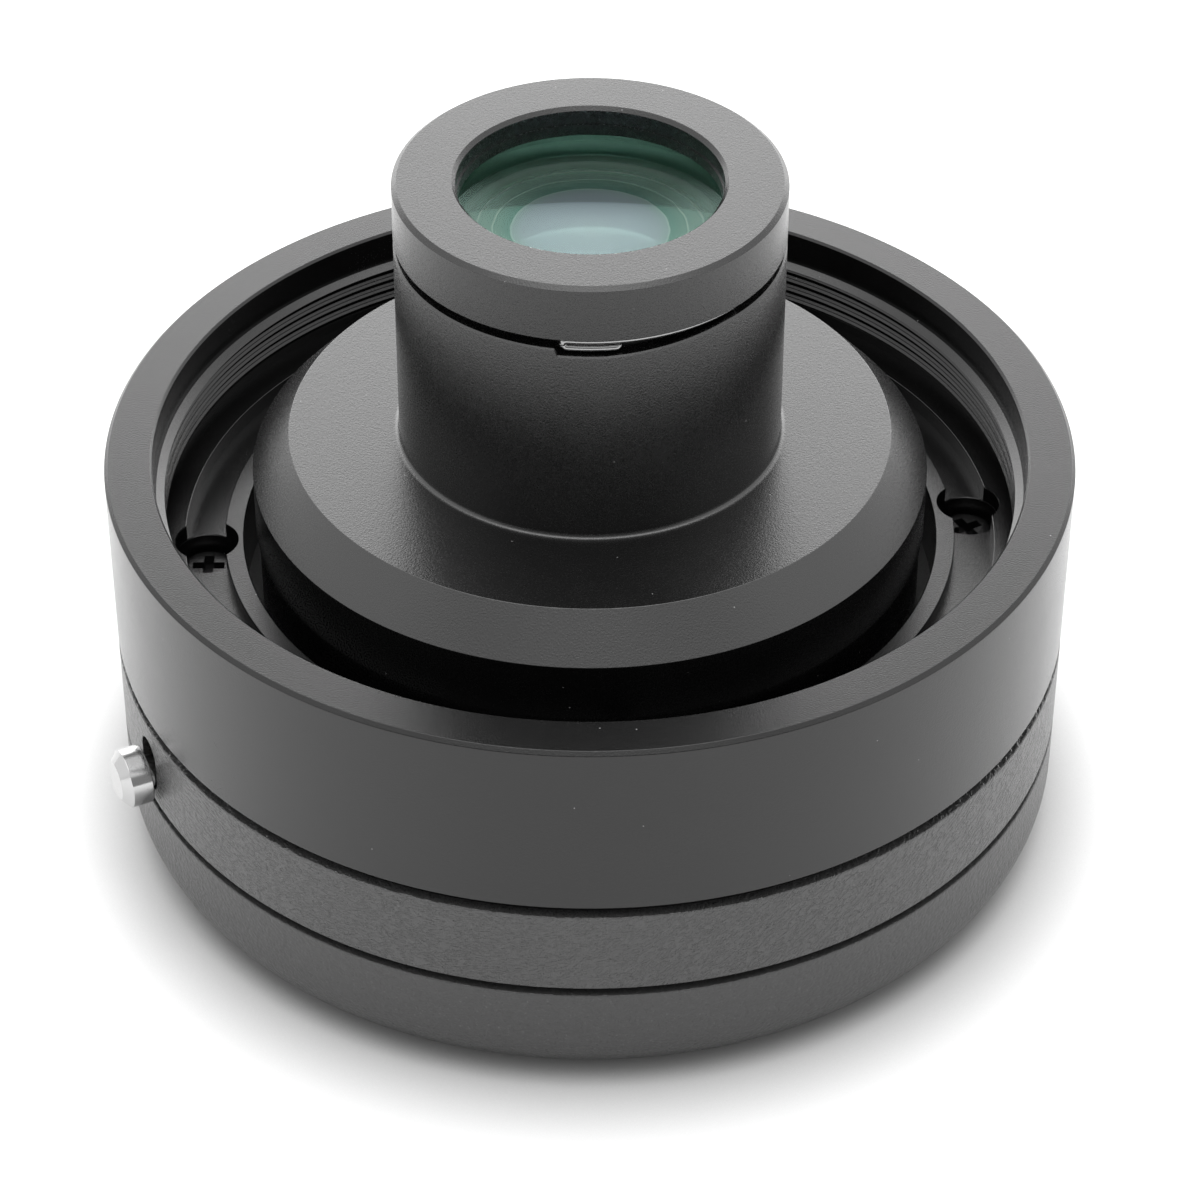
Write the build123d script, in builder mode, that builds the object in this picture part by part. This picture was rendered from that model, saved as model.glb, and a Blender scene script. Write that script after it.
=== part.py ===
from build123d import *
import math
import os

# A short tele-extender for a spotting scope. Millimetres, +Z up along the optical axis.
# The origin is on that axis, at the foot that the extender stands on. The nose points up.

# Clearances
thread_gap = 0.05
slip_gap = 0.1
glue_gap = 0.03
lens_gap = 0.05
cement_gap = 0.02
edge_match = 0.0001

# Outer wall, a stack of heights from the foot upwards
wall_r = 33.0
base_height = 8.3
lower_groove = 0.64
band_height = 6.22
upper_groove = 0.82
rim_height = 12.96
groove_depth = 0.8
foot_round = 4.4
foot_edge_break = 0.3

band_bottom = base_height + lower_groove
band_top = band_bottom + band_height
rim_bottom = band_top + upper_groove
rim_top = rim_bottom + rim_height

# Body that carries everything, seen only at the bottom of the two outer grooves
base_thread_depth = 1.8
base_thread_height = 3.2
skirt_height = 0.92
body_r = wall_r - groove_depth
body_bottom = base_height - base_thread_height
body_top = rim_bottom + skirt_height
base_thread_r = body_r - base_thread_depth

# Rim ring with its threaded collar and screwed floor
rim_wall = 3.23
rim_chamfer = 0.26
rim_lead = 0.16
thread_step = 0.32
thread_length = 3.4
thread_lead = 0.45
relief_step = 0.5
relief_height = 1.1
floor_thickness = 5.1
ledge_width = 1.57
channel_width = 2.68
channel_depth = 1.15
land_width = 1.3
floor_chamfer = 0.12

rim_bore_r = wall_r - rim_wall
rim_thread_r = rim_bore_r - thread_step
rim_relief_r = rim_thread_r + relief_step
floor_top = body_top + floor_thickness
rim_thread_bottom = floor_top + relief_height
rim_thread_top = rim_thread_bottom + thread_length
channel_outer_r = rim_thread_r - ledge_width
channel_inner_r = channel_outer_r - channel_width
floor_bore_r = channel_inner_r - land_width

# Floor screws in the channel, with crosses that stopped at different angles
screw_count = 4
screw_angle = 5.0
screw_inset = 1.25
cross_turn = 30.0
cross_turn_step = 15.0
counterbore_r = 2.15
counterbore_depth = 3.5
head_gap = 0.25
head_height = 1.3
head_round = 0.45
shank_r = 0.95
screw_hole_gap = 0.15
floor_screw_bite = 2.5
blind_extra = 0.4
cross_width = 0.7
cross_span = 2.2
cross_depth = 0.75

screw_circle_r = channel_inner_r + screw_inset
screw_seat_z = floor_top - counterbore_depth
head_r = counterbore_r - head_gap

# Nose housing: drum, bevelled dome and barrel, turned in one piece
drum_trench = 0.9
drum_step = 0.2
drum_step_height = 6.45
drum_height = 10.7
dome_rise = 2.8
dome_inset = 2.57
drum_seat = 2.2
nose_r = 12.95
barrel_length = 14.8
barrel_fillet = 0.35
barrel_chamfer = 0.35
nose_groove_depth = 1.05
nose_groove_height = 0.7
spigot_height = 2.0

drum_r = floor_bore_r - drum_trench
dome_edge_r = drum_r - dome_inset
socket_bore_r = drum_r - drum_seat
housing_thread_r = socket_bore_r - thread_gap
drum_step_top = body_top + drum_step_height
dome_low = body_top + drum_height
dome_top = dome_low + dome_rise
barrel_top = dome_top + barrel_length
spigot_r = nose_r - nose_groove_depth
spigot_top = barrel_top + spigot_height

# Nose cap that clamps the front lenses
cap_height = 4.02
cap_edge_height = 0.26
cap_edge_inset = 0.33
cap_lip = 2.02
cap_bore_r = 8.77
cap_bore_lead = 0.26
cap_step = 0.08
cap_step_drop = 1.27
cap_room = 0.2

cap_bottom = barrel_top + nose_groove_height
cap_top = cap_bottom + cap_height
cap_lip_bottom = cap_top - cap_lip
cap_step_z = cap_top - cap_step_drop
cap_face_r = nose_r - cap_edge_inset


def sag(sphere_radius, edge_radius):
    """Depth of a spherical face of this radius inside a circle."""
    return sphere_radius - math.sqrt(sphere_radius**2 - edge_radius**2)


# Front pair of lenses, by their thickness in the middle
front_seal_thickness = 0.2
front_seat_wall = 1.65
front_thickness = 1.56
front_inner_thickness = 1.97
front_rim_width = 1.25
front_seat_width = 1.05
front_top_radius = 34.0
front_joint_radius = 40.0
front_back_radius = 45.0

front_seat_r = spigot_r - front_seat_wall
front_lens_r = front_seat_r - lens_gap
front_rim_r = front_lens_r - front_rim_width
bore_r = front_seat_r - front_seat_width
front_rim_z = cap_lip_bottom - front_seal_thickness
front_top_middle = front_rim_z - sag(front_top_radius, front_rim_r)
front_joint_middle = front_top_middle - front_thickness
front_joint_edge = front_joint_middle - sag(front_joint_radius, front_lens_r)
front_inner_middle = front_joint_middle - cement_gap
front_back_middle = front_inner_middle - front_inner_thickness
front_seat_z = front_back_middle - sag(front_back_radius, bore_r)

# Rear pair of lenses and the ring that holds them
rear_seat_r = 14.05
rear_seat_width = 1.85
rear_seat_height = 3.5
rear_thickness = 5.8
rear_inner_thickness = 1.05
rear_top_radius = 60.0
rear_joint_radius = 50.0
rear_back_radius = 120.0
retainer_height = 1.3
retainer_width = 1.5
retainer_slot = 1.0
retainer_slot_depth = 0.6
housing_tail = 0.5

rear_bore_r = rear_seat_r - rear_seat_width
rear_rim_r = rear_bore_r - slip_gap
rear_lens_r = rear_seat_r - lens_gap
retainer_bore_r = rear_lens_r - retainer_width
rear_seat_z = body_top + rear_seat_height
rear_top_middle = rear_seat_z + sag(rear_top_radius, rear_rim_r)
rear_joint_middle = rear_top_middle - rear_thickness
rear_joint_edge = rear_joint_middle + sag(rear_joint_radius, rear_lens_r)
rear_inner_middle = rear_joint_middle - cement_gap
rear_back_middle = rear_inner_middle - rear_inner_thickness
rear_back_z = rear_back_middle + sag(rear_back_radius, retainer_bore_r)
retainer_bottom = rear_back_z - retainer_height
housing_bottom = retainer_bottom - housing_tail

# Glare stop in the bore between the two pairs
cone_start = 2.6
cone_clear = 0.4
baffle_count = 5
baffle_pitch = 2.2
baffle_depth = 0.5
baffle_first = 1.5

bore_cone_bottom = rear_seat_z + cone_start
bore_cone_top = dome_top - cone_clear

# Wire spring in the groove under the cap: a hairpin with both ends bent into the housing
wire_r = 0.24
wire_clear = 0.24
wire_rise = 0.4
wire_spacing = 0.52
wire_bend = -96.5
wire_upper_end = -42.7
wire_lower_end = -82.5
wire_hook = 0.9
wire_hole_gap = 0.05
notch_start = -99.9
notch_flat_end = -85.0
notch_end = -48.0
notch_drop = 0.5

wire_path_r = spigot_r + wire_r + wire_clear
wire_z = barrel_top + wire_rise
wire_low_z = wire_z - wire_spacing
wire_hooks = ((wire_upper_end, wire_z), (wire_lower_end, wire_low_z))

# Seal between the rim ring and the body
seal_r = 0.42
seal_inset = 1.4
seal_groove_width = 1.0

seal_path_r = body_r - seal_inset

# Bayonet socket for the eyepiece, in the foot
foot_bore_wall = 4.2
bayonet_thickness = 3.1
bayonet_ledge = 1.2
bayonet_lug_reach = 1.7
bayonet_lug_height = 1.6
bayonet_lug_angle = 40.0
bayonet_lug_count = 3
bayonet_lug_start = 4.9
spring_recess = 0.8
spring_thickness = 0.3
spring_finger_reach = 1.3
spring_finger_angle = 26.0
bayonet_screw_inset = 2.1
bayonet_screw_count = 4
bayonet_screw_angle = 70.0
countersink_r = 1.65
countersink_gap = 0.05
bayonet_screw_bite = 3.0
small_cross_width = 0.45
small_cross_span = 1.7
small_cross_depth = 0.5

foot_bore_r = socket_bore_r + foot_bore_wall
bayonet_ring_r = foot_bore_r - slip_gap
bayonet_face = body_bottom - bayonet_thickness
bayonet_bore_r = socket_bore_r - bayonet_ledge
bayonet_lug_r = bayonet_bore_r - bayonet_lug_reach
spring_recess_r = socket_bore_r + spring_recess
bayonet_screw_circle_r = foot_bore_r - bayonet_screw_inset

# Eyepiece lock: a lever pin that slides up a slot in the band and lifts a tongue
lever_angle = 204.9
lever_rise = 2.06
lever_travel = 1.5
slot_gap = 0.2
stem_r = 1.1
stem_bite = 4.7
stem_gap = 0.02
lever_head_r = 2.05
lever_head_clear = 0.4
lever_head_length = 1.45
lever_tip_length = 0.6
lever_tip_inset = 0.72
slider_wall = 1.1
slider_cover_gap = 0.3
slider_width = 4.84
slider_height = 3.55
slider_gap = 0.08
slider_stop_gap = 0.05
slider_below_pin = 1.95
ceiling_gap = 0.25
tongue_r = 1.0
tongue_inset = 1.8
tongue_proud = 1.1
tongue_bite = 0.95
tongue_gap = 0.05
lock_spring_spacing = 2.1
lock_hole_gap = 0.3
lock_spring_bite = 2.1
lock_spring_roof = 0.6
lock_wire_r = 0.14
lock_coil_r = 1.0
lock_coil_turns = 6

lever_z = band_bottom + lever_rise
slot_r = stem_r + slot_gap
slider_bottom = lever_z - slider_below_pin
slider_top = slider_bottom + slider_height
slider_inner = socket_bore_r + slider_wall + slip_gap
slider_outer = body_r - slider_cover_gap
stem_inner = slider_outer - stem_bite
lever_head_start = wall_r + lever_head_clear
pocket_bottom = slider_bottom - slider_stop_gap
pocket_top = slider_top + lever_travel + ceiling_gap
pocket_inner = socket_bore_r + slider_wall
pocket_width = slider_width + 2 * slider_gap
tongue_place_r = foot_bore_r - tongue_inset
tongue_bottom = bayonet_face - tongue_proud
tongue_top = slider_bottom + tongue_bite
lock_spring_place_r = tongue_place_r + lock_spring_spacing
lock_spring_bottom = slider_top - lock_spring_bite
lock_spring_top = body_top - lock_spring_roof
lock_hole_r = lock_coil_r + lock_hole_gap

os.makedirs("parts", exist_ok=True)


def polar(radius, angle, height=0.0):
    """Point at this radius, angle and height about the optical axis."""
    return Vector(radius, 0, height).rotate(Axis.Z, angle)


def radial_plane(distance, angle):
    """Plane that faces outwards at this distance and angle, with its y axis up."""
    return Plane(
        origin=polar(distance, angle),
        x_dir=polar(1, angle + 90),
        z_dir=polar(1, angle),
    )


def turned(points, mode=Mode.ADD):
    """Turn a closed outline of (radius, height) points about the optical axis."""
    with BuildSketch(Plane.XZ) as outline:
        with BuildLine():
            Polyline(*points, close=True)
        make_face()
    revolve(outline.sketch, axis=Axis.Z, mode=mode)


def band_outline(inner, outer, low, high):
    """Rectangular outline between two radii and two heights."""
    return [(inner, low), (outer, low), (outer, high), (inner, high)]


def circle_edges(builder, radius, height):
    """Circular edges about the optical axis with this radius and height."""
    return builder.edges().filter_by(
        lambda e: e.geom_type == GeomType.CIRCLE
        and abs(e.radius - radius) < edge_match
        and abs(e.arc_center.Z - height) < edge_match
    )


def sector(inner, outer, start, sweep):
    """Face between two arcs about the optical axis, added to the present sketch."""
    with BuildLine() as edge:
        low = CenterArc((0, 0), inner, start, sweep)
        high = CenterArc((0, 0), outer, start, sweep)
        Line(low @ 0, high @ 0)
        Line(low @ 1, high @ 1)
    make_face(edge.edges())


def lens(rim_r, top_face, bottom_face):
    """Turn a lens from two faces, each (edge radius, edge height, middle height)."""
    top_r, top_z, top_middle = top_face
    bottom_r, bottom_z, bottom_middle = bottom_face
    rim = [(top_r, top_z), (rim_r, top_z), (rim_r, bottom_z), (bottom_r, bottom_z)]
    with BuildSketch(Plane.XZ) as section:
        with BuildLine():
            Line((0, bottom_middle), (0, top_middle))
            TangentArc((0, top_middle), (top_r, top_z), tangent=(1, 0))
            Polyline(*dict.fromkeys(rim))
            TangentArc((0, bottom_middle), (bottom_r, bottom_z), tangent=(1, 0))
        make_face()
    revolve(section.sketch, axis=Axis.Z)


# Nose housing
with BuildPart() as nose_housing:
    turned([
        (rear_seat_r, housing_bottom),
        (housing_thread_r, housing_bottom),
        (housing_thread_r, body_top),
        (drum_r - drum_step, body_top),
        (drum_r - drum_step, drum_step_top),
        (drum_r, drum_step_top),
        (drum_r, dome_low),
        (dome_edge_r, dome_top),
        (nose_r, dome_top),
        (nose_r, barrel_top),
        (bore_r, barrel_top),
        (bore_r, bore_cone_top),
        (rear_bore_r, bore_cone_bottom),
        (rear_bore_r, rear_seat_z),
        (rear_seat_r, rear_seat_z),
    ])
    fillet(circle_edges(nose_housing, nose_r, dome_top), barrel_fillet)
    chamfer(circle_edges(nose_housing, nose_r, barrel_top), barrel_chamfer)
    # Ramp cut into the lip under the wire spring
    notch_middle = (notch_start + notch_end) / 2
    notch_x = [
        nose_r * math.sin(math.radians(angle - notch_middle))
        for angle in (notch_start, notch_flat_end, notch_end)
    ]
    with BuildSketch(radial_plane(bore_r, notch_middle)):
        Polygon(
            (notch_x[0], barrel_top + notch_drop),
            (notch_x[0], barrel_top - notch_drop),
            (notch_x[1], barrel_top - notch_drop),
            (notch_x[2], barrel_top),
            (notch_x[2], barrel_top + notch_drop),
            align=None,
        )
    extrude(amount=nose_r, mode=Mode.SUBTRACT)
    # Spigot for the cap, with the seat of the front lenses
    turned([
        (bore_r, barrel_top - 2 * notch_drop),
        (spigot_r, barrel_top - 2 * notch_drop),
        (spigot_r, spigot_top),
        (bore_r, spigot_top),
    ])
    turned(band_outline(0, front_seat_r, front_seat_z, spigot_top), Mode.SUBTRACT)
    # Ridges in the bore that stop stray light
    for k in range(baffle_count):
        z = bore_cone_top + baffle_first + k * baffle_pitch
        turned([
            (bore_r - baffle_depth, z - 2 * baffle_depth),
            (bore_r + baffle_depth, z),
            (bore_r - baffle_depth, z),
        ], Mode.SUBTRACT)
    for angle, height in wire_hooks:
        with BuildSketch(radial_plane(spigot_r, angle)):
            with Locations((0, height)):
                Circle(wire_r + wire_hole_gap)
        extrude(amount=-wire_hook, mode=Mode.SUBTRACT)
nose_housing.part.label = "nose_housing"

# Nose cap
with BuildPart() as nose_cap:
    turned([
        (spigot_r + thread_gap, cap_bottom),
        (nose_r, cap_bottom),
        (nose_r, cap_top - cap_edge_height),
        (cap_face_r, cap_top),
        (cap_bore_r + cap_bore_lead, cap_top),
        (cap_bore_r, cap_top - cap_bore_lead),
        (cap_bore_r, cap_step_z),
        (cap_bore_r - cap_step, cap_step_z),
        (cap_bore_r - cap_step, cap_lip_bottom),
        (front_lens_r + cap_room, cap_lip_bottom),
        (front_lens_r + cap_room, spigot_top + slip_gap),
        (spigot_r + thread_gap, spigot_top + slip_gap),
    ])
nose_cap.part.label = "nose_cap"

# Wire spring under the cap
with BuildPart() as nose_spring_wire:
    bend_side = polar(wire_spacing / 2, wire_bend - 90, (wire_z + wire_low_z) / 2)
    with BuildLine() as wire_path:
        upper = ThreePointArc(
            polar(wire_path_r, wire_upper_end, wire_z),
            polar(wire_path_r, (wire_upper_end + wire_bend) / 2, wire_z),
            polar(wire_path_r, wire_bend, wire_z),
        )
        hairpin = ThreePointArc(
            upper @ 1,
            polar(wire_path_r, wire_bend) + bend_side,
            polar(wire_path_r, wire_bend, wire_low_z),
        )
        ThreePointArc(
            hairpin @ 1,
            polar(wire_path_r, (wire_bend + wire_lower_end) / 2, wire_low_z),
            polar(wire_path_r, wire_lower_end, wire_low_z),
        )
    with BuildSketch(Plane(upper @ 0, z_dir=upper % 0)):
        Circle(wire_r)
    sweep(path=wire_path.line)
    for angle, height in wire_hooks:
        with Locations(polar(wire_path_r, angle, height)):
            Sphere(wire_r)
        with BuildSketch(radial_plane(wire_path_r, angle)):
            with Locations((0, height)):
                Circle(wire_r)
        extrude(amount=-wire_hook)
nose_spring_wire.part.label = "nose_spring_wire"

# Front lenses and their seal
with BuildPart() as front_lens:
    lens(
        front_lens_r,
        (front_rim_r, front_rim_z, front_top_middle),
        (front_lens_r, front_joint_edge, front_joint_middle),
    )
front_lens.part.label = "front_lens"

with BuildPart() as front_lens_inner:
    lens(
        front_lens_r,
        (front_lens_r, front_joint_edge - cement_gap, front_inner_middle),
        (bore_r, front_seat_z, front_back_middle),
    )
front_lens_inner.part.label = "front_lens_inner"

with BuildPart() as front_lens_seal:
    turned(band_outline(front_rim_r, front_lens_r, front_rim_z, cap_lip_bottom))
front_lens_seal.part.label = "front_lens_seal"

# Rear lenses and the slotted ring that holds them
with BuildPart() as rear_lens:
    lens(
        rear_lens_r,
        (rear_rim_r, rear_seat_z, rear_top_middle),
        (rear_lens_r, rear_joint_edge, rear_joint_middle),
    )
rear_lens.part.label = "rear_lens"

with BuildPart() as rear_lens_inner:
    lens(
        rear_lens_r,
        (rear_lens_r, rear_joint_edge - cement_gap, rear_inner_middle),
        (retainer_bore_r, rear_back_z, rear_back_middle),
    )
rear_lens_inner.part.label = "rear_lens_inner"

with BuildPart() as rear_lens_retainer:
    turned(band_outline(retainer_bore_r, rear_lens_r, retainer_bottom, rear_back_z))
    with BuildSketch(Plane.XY.offset(retainer_bottom)):
        Rectangle(3 * rear_lens_r, retainer_slot)
    extrude(amount=retainer_slot_depth, mode=Mode.SUBTRACT)
rear_lens_retainer.part.label = "rear_lens_retainer"

# Rim ring
with BuildPart() as rim_ring:
    turned([
        (floor_bore_r, body_top),
        (body_r + slip_gap, body_top),
        (body_r + slip_gap, rim_bottom),
        (wall_r, rim_bottom),
        (wall_r, rim_top - rim_chamfer),
        (wall_r - rim_chamfer, rim_top),
        (rim_bore_r + rim_lead, rim_top),
        (rim_bore_r, rim_top - rim_lead),
        (rim_bore_r, rim_thread_top),
        (rim_thread_r, rim_thread_top - thread_lead),
        (rim_thread_r, rim_thread_bottom),
        (rim_relief_r, rim_thread_bottom),
        (rim_relief_r, floor_top),
        (channel_outer_r, floor_top),
        (channel_outer_r, floor_top - channel_depth),
        (channel_inner_r, floor_top - channel_depth),
        (channel_inner_r, floor_top),
        (floor_bore_r + floor_chamfer, floor_top),
        (floor_bore_r, floor_top - floor_chamfer),
    ])
    with Locations((0, 0, floor_top)):
        with PolarLocations(screw_circle_r, screw_count, start_angle=screw_angle):
            CounterBoreHole(
                radius=shank_r + screw_hole_gap,
                counter_bore_radius=counterbore_r,
                counter_bore_depth=counterbore_depth,
                depth=floor_thickness,
            )
rim_ring.part.label = "rim_ring"

# Four screws that hold the rim ring on the body
with BuildPart() as floor_screws:
    with BuildSketch(Plane.XY.offset(screw_seat_z)):
        with PolarLocations(screw_circle_r, screw_count, start_angle=screw_angle):
            Circle(head_r)
    extrude(amount=head_height)
    fillet(floor_screws.edges().group_by(Axis.Z)[-1], head_round)
    with BuildSketch(Plane.XY.offset(screw_seat_z)):
        with PolarLocations(screw_circle_r, screw_count, start_angle=screw_angle):
            Circle(shank_r)
    extrude(amount=-(screw_seat_z - body_top + floor_screw_bite))
    with BuildSketch(Plane.XY.offset(screw_seat_z + head_height)):
        places = PolarLocations(screw_circle_r, screw_count, start_angle=screw_angle, rotate=False)
        for k, place in enumerate(places.locations):
            turn = cross_turn - k * cross_turn_step
            with Locations(place):
                Rectangle(cross_span, cross_width, rotation=turn)
                Rectangle(cross_width, cross_span, rotation=turn)
    extrude(amount=-cross_depth, mode=Mode.SUBTRACT)
floor_screws.part.label = "floor_screws"

# Seal between the rim ring and the body
with BuildPart() as rim_seal:
    with BuildSketch(Plane.XZ):
        with Locations((seal_path_r, body_top - seal_r)):
            Circle(seal_r)
    revolve(axis=Axis.Z)
rim_seal.part.label = "rim_seal"

# Body
with BuildPart() as main_body:
    turned([
        (socket_bore_r, body_bottom),
        (base_thread_r, body_bottom),
        (base_thread_r, base_height),
        (body_r, base_height),
        (body_r, body_top),
        (socket_bore_r, body_top),
    ])
    turned(
        band_outline(
            seal_path_r - seal_groove_width / 2,
            seal_path_r + seal_groove_width / 2,
            body_top - 2 * seal_r,
            body_top,
        ),
        Mode.SUBTRACT,
    )
    with Locations((0, 0, body_top)):
        with PolarLocations(screw_circle_r, screw_count, start_angle=screw_angle):
            Hole(radius=shank_r + thread_gap, depth=floor_screw_bite + blind_extra)
    with BuildSketch(Plane.XY.offset(body_bottom)):
        with PolarLocations(
            bayonet_screw_circle_r, bayonet_screw_count, start_angle=bayonet_screw_angle
        ):
            Circle(shank_r + thread_gap)
    extrude(amount=bayonet_screw_bite + blind_extra, mode=Mode.SUBTRACT)
    # Pocket of the eyepiece lock, with the holes of its tongue and its spring
    with BuildSketch(radial_plane(pocket_inner, lever_angle)):
        with Locations((0, (pocket_bottom + pocket_top) / 2)):
            Rectangle(pocket_width, pocket_top - pocket_bottom)
    extrude(amount=wall_r - pocket_inner, mode=Mode.SUBTRACT)
    with BuildSketch(Plane.XY.offset(body_bottom)):
        with Locations(polar(tongue_place_r, lever_angle)):
            Circle(tongue_r + tongue_gap)
    extrude(amount=pocket_top - body_bottom, mode=Mode.SUBTRACT)
    with BuildSketch(Plane.XY.offset(lock_spring_top)):
        with Locations(polar(lock_spring_place_r, lever_angle)):
            Circle(lock_hole_r)
    extrude(amount=-(lock_spring_top - pocket_bottom), mode=Mode.SUBTRACT)
main_body.part.label = "main_body"

# Grip band with the slot that the lever pin slides in
with BuildPart() as grip_band:
    turned(band_outline(body_r + glue_gap, wall_r, band_bottom, band_top))
    with BuildSketch(radial_plane(body_r - glue_gap, lever_angle)):
        with Locations((0, lever_z + lever_travel / 2)):
            SlotCenterToCenter(lever_travel, 2 * slot_r, rotation=90)
    extrude(amount=groove_depth + slot_gap, mode=Mode.SUBTRACT)
grip_band.part.label = "grip_band"

# Base ring
with BuildPart() as base_ring:
    turned([
        (foot_bore_r, 0),
        (wall_r, 0),
        (wall_r, base_height),
        (base_thread_r + thread_gap, base_height),
        (base_thread_r + thread_gap, body_bottom - slip_gap),
        (foot_bore_r, body_bottom - slip_gap),
    ])
    fillet(circle_edges(base_ring, wall_r, 0), foot_round)
    chamfer(circle_edges(base_ring, foot_bore_r, 0), foot_edge_break)
base_ring.part.label = "base_ring"

# Bayonet ring
with BuildPart() as bayonet_ring:
    turned([
        (bayonet_bore_r, bayonet_face),
        (bayonet_ring_r, bayonet_face),
        (bayonet_ring_r, body_bottom),
        (spring_recess_r, body_bottom),
        (spring_recess_r, body_bottom - spring_thickness),
        (bayonet_bore_r, body_bottom - spring_thickness),
    ])
    with BuildSketch(Plane.XY.offset(bayonet_face)):
        for k in range(bayonet_lug_count):
            sector(
                bayonet_lug_r,
                bayonet_bore_r + slip_gap,
                bayonet_lug_start + k * 360 / bayonet_lug_count,
                bayonet_lug_angle,
            )
    extrude(amount=bayonet_lug_height)
    with BuildSketch(Plane.XY.offset(bayonet_face)):
        with Locations(polar(tongue_place_r, lever_angle)):
            Circle(tongue_r + tongue_gap)
    extrude(amount=bayonet_thickness, mode=Mode.SUBTRACT)
    with Locations(Plane(origin=(0, 0, bayonet_face), z_dir=(0, 0, -1))):
        with PolarLocations(
            bayonet_screw_circle_r, bayonet_screw_count, start_angle=-bayonet_screw_angle
        ):
            CounterSinkHole(
                radius=shank_r + thread_gap,
                counter_sink_radius=countersink_r + countersink_gap,
                depth=bayonet_thickness,
                counter_sink_angle=90,
            )
bayonet_ring.part.label = "bayonet_ring"

# Leaf spring over the bayonet lugs
with BuildPart() as bayonet_spring:
    turned(
        band_outline(
            bayonet_bore_r,
            spring_recess_r - slip_gap,
            body_bottom - spring_thickness,
            body_bottom,
        )
    )
    with BuildSketch(Plane.XY.offset(body_bottom)):
        for k in range(bayonet_lug_count):
            sector(
                bayonet_bore_r - spring_finger_reach,
                bayonet_bore_r + slip_gap,
                bayonet_lug_start
                + k * 360 / bayonet_lug_count
                + (bayonet_lug_angle - spring_finger_angle) / 2,
                spring_finger_angle,
            )
    extrude(amount=-spring_thickness)
bayonet_spring.part.label = "bayonet_spring"

# Countersunk screws that hold the bayonet ring
with BuildPart() as bayonet_screws:
    with Locations((0, 0, bayonet_face)):
        with PolarLocations(
            bayonet_screw_circle_r, bayonet_screw_count, start_angle=bayonet_screw_angle
        ):
            Cone(
                bottom_radius=countersink_r,
                top_radius=shank_r,
                height=countersink_r - shank_r,
                align=(Align.CENTER, Align.CENTER, Align.MIN),
            )
            Cylinder(
                radius=shank_r,
                height=bayonet_thickness + bayonet_screw_bite,
                align=(Align.CENTER, Align.CENTER, Align.MIN),
            )
    with BuildSketch(Plane.XY.offset(bayonet_face)):
        with PolarLocations(
            bayonet_screw_circle_r, bayonet_screw_count, start_angle=bayonet_screw_angle
        ):
            Rectangle(small_cross_span, small_cross_width)
            Rectangle(small_cross_width, small_cross_span)
    extrude(amount=small_cross_depth, mode=Mode.SUBTRACT)
bayonet_screws.part.label = "bayonet_screws"

# Slider of the eyepiece lock
with BuildPart() as lock_slider:
    with BuildSketch(radial_plane(slider_inner, lever_angle)):
        with Locations((0, (slider_bottom + slider_top) / 2)):
            Rectangle(slider_width, slider_height)
    extrude(amount=slider_outer - slider_inner)
    with BuildSketch(Plane.XY.offset(slider_bottom)):
        with Locations(polar(tongue_place_r, lever_angle)):
            Circle(tongue_r + stem_gap)
    extrude(amount=tongue_bite, mode=Mode.SUBTRACT)
    with BuildSketch(Plane.XY.offset(slider_top)):
        with Locations(polar(lock_spring_place_r, lever_angle)):
            Circle(lock_hole_r)
    extrude(amount=-lock_spring_bite, mode=Mode.SUBTRACT)
    with BuildSketch(radial_plane(slider_outer, lever_angle)):
        with Locations((0, lever_z)):
            Circle(stem_r + stem_gap)
    extrude(amount=-stem_bite, mode=Mode.SUBTRACT)
lock_slider.part.label = "lock_slider"

# Lever pin, turned with a tapered head
with BuildPart() as lock_lever:
    with BuildSketch(radial_plane(stem_inner, lever_angle)):
        with Locations((0, lever_z)):
            Circle(stem_r)
    extrude(amount=lever_head_start - stem_inner)
    with BuildSketch(radial_plane(lever_head_start, lever_angle)):
        with Locations((0, lever_z)):
            Circle(lever_head_r)
    extrude(amount=lever_head_length + lever_tip_length)
    tip_edge = lock_lever.faces().sort_by(Axis(lock_lever.part.center(), polar(1, lever_angle)))[-1]
    chamfer(tip_edge.edges(), lever_tip_length, lever_tip_inset, reference=tip_edge)
lock_lever.part.label = "lock_lever"

# Tongue that holds the eyepiece against turning
with BuildPart() as lock_tongue:
    with BuildSketch(Plane.XY.offset(tongue_bottom)):
        with Locations(polar(tongue_place_r, lever_angle)):
            Circle(tongue_r)
    extrude(amount=tongue_top - tongue_bottom)
    chamfer(lock_tongue.edges().group_by(Axis.Z)[0], slip_gap)
lock_tongue.part.label = "lock_tongue"

# Coil spring that pushes the slider down
with BuildPart() as lock_spring:
    coil_low = lock_spring_bottom + lock_wire_r
    coil_height = lock_spring_top - lock_wire_r - coil_low
    with BuildLine(Plane(polar(lock_spring_place_r, lever_angle, coil_low))) as coil_path:
        Helix(coil_height / lock_coil_turns, coil_height, lock_coil_r - lock_wire_r)
    with BuildSketch(Plane(coil_path.line @ 0, z_dir=coil_path.line % 0)):
        Circle(lock_wire_r)
    sweep(is_frenet=True)
lock_spring.part.label = "lock_spring"

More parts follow.
